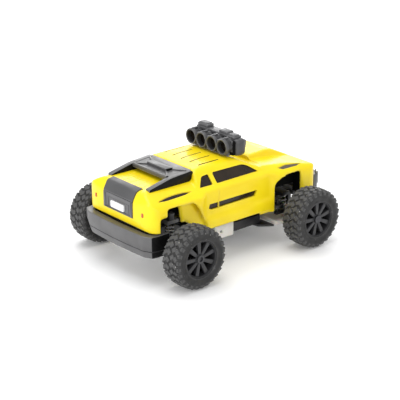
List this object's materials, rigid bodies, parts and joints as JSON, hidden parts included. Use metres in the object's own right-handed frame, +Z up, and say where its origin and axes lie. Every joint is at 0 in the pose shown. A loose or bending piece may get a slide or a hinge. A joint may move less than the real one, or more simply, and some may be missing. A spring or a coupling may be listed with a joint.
{
  "type": "remote control truck",
  "caption": "Micro remote control truck: yellow pickup body with roof lamp bar on a sprung chassis with spoked wheels, steering front wheels and a geared rear axle.",
  "frame": {"origin": "bottom centre of the bounding box: on the ground under the middle of the truck's length", "axes": "+X forward along the length, +Y left, +Z up"},
  "size_m": [0.078, 0.0572, 0.0393],
  "materials": {
    "body_yellow": "moulded, semi-gloss yellow",
    "charcoal_plastic": "satin charcoal",
    "black_plastic": "satin black",
    "dark_glazing": "dark smoked",
    "lamp_lens": "clear moulded lens",
    "orange_lens": "orange",
    "plate_white": "white, printed",
    "white_nylon": "natural nylon",
    "steel": "bright steel",
    "brass": "turned brass",
    "battery_wrap": "blue wrap",
    "board_green": "solder mask",
    "rim_plastic": "satin dark charcoal",
    "tyre_rubber": "moulded rubber"
  },
  "bodies": {
    "chassis": {"body_shell": "body_yellow", "cabin_glazing": "dark_glazing", "sill_inserts": "black_plastic", "tailgate_panel": "charcoal_plastic", "number_plate": "plate_white", "tail_lights": "orange_lens", "headlights": "lamp_lens", "grille": "charcoal_plastic", "sail_panel": "charcoal_plastic", "roof_light_bar": "charcoal_plastic", "roof_lamps": "lamp_lens", "rear_bumper": "charcoal_plastic", "front_bumper": "charcoal_plastic", "chassis_tub": "black_plastic", "pivot_block": "white_nylon", "hinge_pins": "steel", "shock_tower": "charcoal_plastic", "front_bulkhead": "black_plastic", "battery": "battery_wrap", "receiver_board": "board_green", "charge_socket": "steel", "switch_case": "black_plastic", "servo_case": "black_plastic", "chassis_screws": "steel", "rear_springs": "steel", "front_spring_left": "steel", "front_spring_right": "steel"},
    "drive_pod": {"gearbox_lower": "black_plastic", "gearbox_upper": "black_plastic", "motor": "steel", "axle_bushes": "brass", "gearbox_screws": "steel"},
    "rear_axle": {"axle_shaft": "steel", "spur_gear": "white_nylon", "rear_rim_left": "rim_plastic", "rear_rim_right": "rim_plastic", "rear_tyre_left": "tyre_rubber", "rear_tyre_right": "tyre_rubber", "rear_wheel_nuts": "steel"},
    "motor_rotor": {"motor_shaft": "steel", "pinion": "white_nylon"},
    "steering_link": {"steering_link": "white_nylon"},
    "servo_horn": {"servo_horn": "white_nylon"},
    "switch_knob": {"switch_knob": "black_plastic"},
    "front_arm_left": {"front_arm_left": "white_nylon", "kingpin_left": "steel"},
    "knuckle_left": {"knuckle_left": "black_plastic", "stub_axle_left": "steel"},
    "front_wheel_left": {"front_rim_left": "rim_plastic", "front_tyre_left": "tyre_rubber"},
    "front_arm_right": {"front_arm_right": "white_nylon", "kingpin_right": "steel"},
    "knuckle_right": {"knuckle_right": "black_plastic", "stub_axle_right": "steel"},
    "front_wheel_right": {"front_rim_right": "rim_plastic", "front_tyre_right": "tyre_rubber"}
  },
  "joints": [
    {"name": "rear_suspension", "type": "hinge", "parent": "chassis", "child": "drive_pod", "pos_m": [-0.0045, 0, 0.0082], "axis": [0, 1, 0], "range_deg": [0, 5], "stiffness_Nm_per_rad": 0.03, "springref_deg": -14.32, "deforming": ["rear_springs"]},
    {"name": "rear_axle_spin", "type": "hinge", "parent": "drive_pod", "child": "rear_axle", "pos_m": [-0.0266, 0, 0.01], "axis": [0, 1, 0], "continuous": true},
    {"name": "motor_spin", "type": "hinge", "parent": "drive_pod", "child": "motor_rotor", "pos_m": [-0.02167, 0, 0.01], "axis": [0, 1, 0], "continuous": true},
    {"name": "front_suspension_left", "type": "hinge", "parent": "chassis", "child": "front_arm_left", "pos_m": [0.0236, 0.0055, 0.0072], "axis": [1, 0, 0], "range_deg": [0, 5], "stiffness_Nm_per_rad": 0.012, "springref_deg": -14.32, "deforming": ["front_spring_left"]},
    {"name": "steer_left", "type": "hinge", "parent": "front_arm_left", "child": "knuckle_left", "pos_m": [0.0236, 0.017, 0.01], "axis": [0, 0, 1], "range_deg": [-16, 16]},
    {"name": "front_wheel_spin_left", "type": "hinge", "parent": "knuckle_left", "child": "front_wheel_left", "pos_m": [0.0236, 0.0246, 0.01], "axis": [0, 1, 0], "continuous": true},
    {"name": "front_suspension_right", "type": "hinge", "parent": "chassis", "child": "front_arm_right", "pos_m": [0.0236, -0.0055, 0.0072], "axis": [-1, 0, 0], "range_deg": [0, 5], "stiffness_Nm_per_rad": 0.012, "springref_deg": -14.32, "deforming": ["front_spring_right"]},
    {"name": "steer_right", "type": "hinge", "parent": "front_arm_right", "child": "knuckle_right", "pos_m": [0.0236, -0.017, 0.01], "axis": [0, 0, 1], "range_deg": [-16, 16]},
    {"name": "front_wheel_spin_right", "type": "hinge", "parent": "knuckle_right", "child": "front_wheel_right", "pos_m": [0.0236, -0.0246, 0.01], "axis": [0, 1, 0], "continuous": true},
    {"name": "steering_link_slide", "type": "slide", "parent": "chassis", "child": "steering_link", "axis": [0, 1, 0], "range_m": [-0.0019, 0.0019]},
    {"name": "servo_horn_turn", "type": "hinge", "parent": "chassis", "child": "servo_horn", "pos_m": [0.014, 0, 0.01], "axis": [1, 0, 0], "range_deg": [-30, 30]},
    {"name": "power_switch", "type": "slide", "parent": "chassis", "child": "switch_knob", "axis": [1, 0, 0], "range_m": [0, 0.0016]}
  ],
  "couplings": [
    {"joint": "motor_spin", "follows": "rear_axle_spin", "ratio": -3.3333},
    {"joint": "steer_right", "follows": "steer_left", "ratio": 1},
    {"joint": "steering_link_slide", "follows": "steer_left", "m_per_rad": -0.0066},
    {"joint": "servo_horn_turn", "follows": "steer_left", "ratio": 1.8333}
  ]
}
